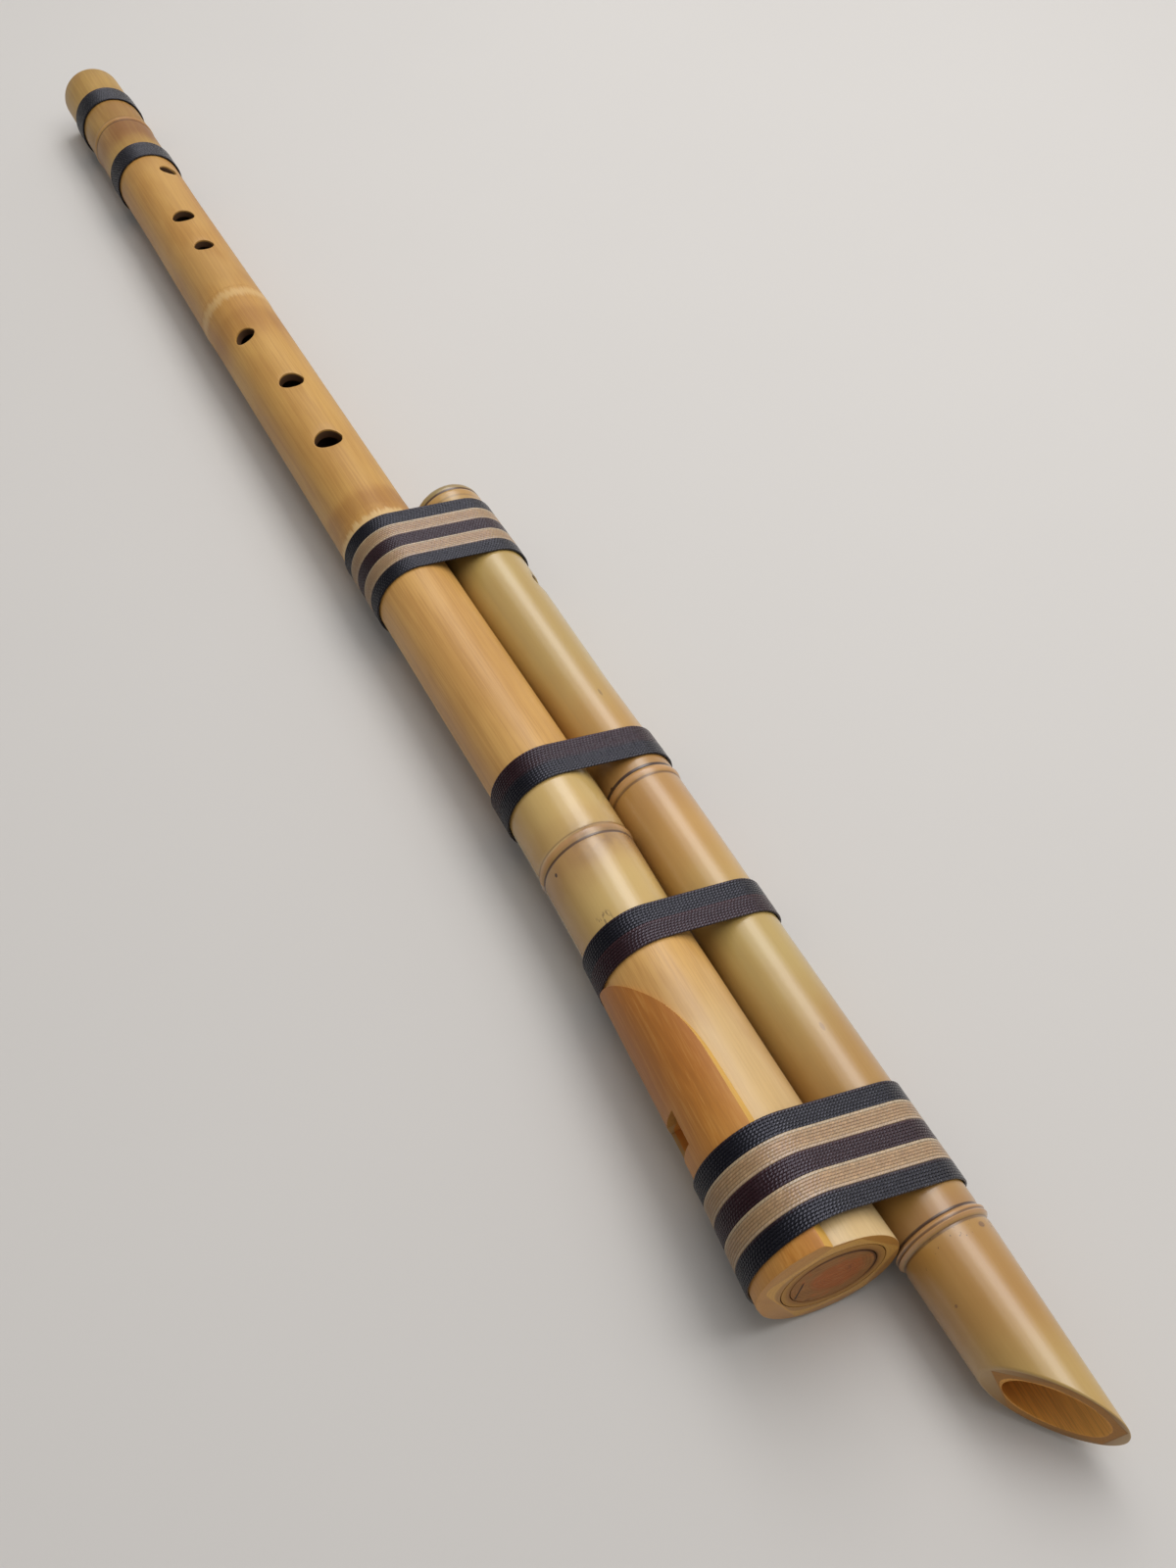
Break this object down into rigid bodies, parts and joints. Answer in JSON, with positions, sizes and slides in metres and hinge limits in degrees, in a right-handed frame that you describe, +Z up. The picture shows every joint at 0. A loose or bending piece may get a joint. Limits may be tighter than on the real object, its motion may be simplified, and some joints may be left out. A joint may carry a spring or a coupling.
{
  "type": "moseno flute",
  "caption": "Ducted bamboo flute: a main tube with finger holes and a slimmer side-blown air duct tube, lashed side by side with bands of coloured thread.",
  "frame": {"origin": "on the surface that the flute lies on, below the centre of its bounding box", "axes": "+X along the flute from the open foot to the slanting mouth of the duct tube, +Y from the main tube towards the duct tube, +Z up, with the finger holes on top"},
  "size_m": [0.7997, 0.0724, 0.0452],
  "materials": {
    "sanded_bamboo": "sanded bamboo with an oiled sheen",
    "natural_bamboo": "natural glossy bamboo skin",
    "plug_wood": "matt",
    "packing": "matt",
    "block_wood": "matt",
    "wax": "waxy",
    "black_thread": "waxed thread",
    "brown_thread": "waxed thread",
    "tan_thread": "waxed thread"
  },
  "bodies": {
    "root": {"main_tube": "sanded_bamboo", "air_duct_tube": "natural_bamboo", "end_plug": "plug_wood", "plug_packing_ring": "packing", "fipple_block": "block_wood", "transfer_seal": "wax", "foot_band_1": "black_thread", "foot_band_2": "black_thread", "upper_band_1_black": "black_thread", "upper_band_2_tan": "tan_thread", "upper_band_3_brown": "brown_thread", "upper_band_4_tan": "tan_thread", "upper_band_5_black": "black_thread", "middle_band_1_brown": "brown_thread", "middle_band_2_black": "black_thread", "neck_band_1_black": "black_thread", "neck_band_2_brown": "brown_thread", "lower_band_1_black": "black_thread", "lower_band_2_tan": "tan_thread", "lower_band_3_brown": "brown_thread", "lower_band_4_tan": "tan_thread", "lower_band_5_black": "black_thread"}
  },
  "joints": []
}
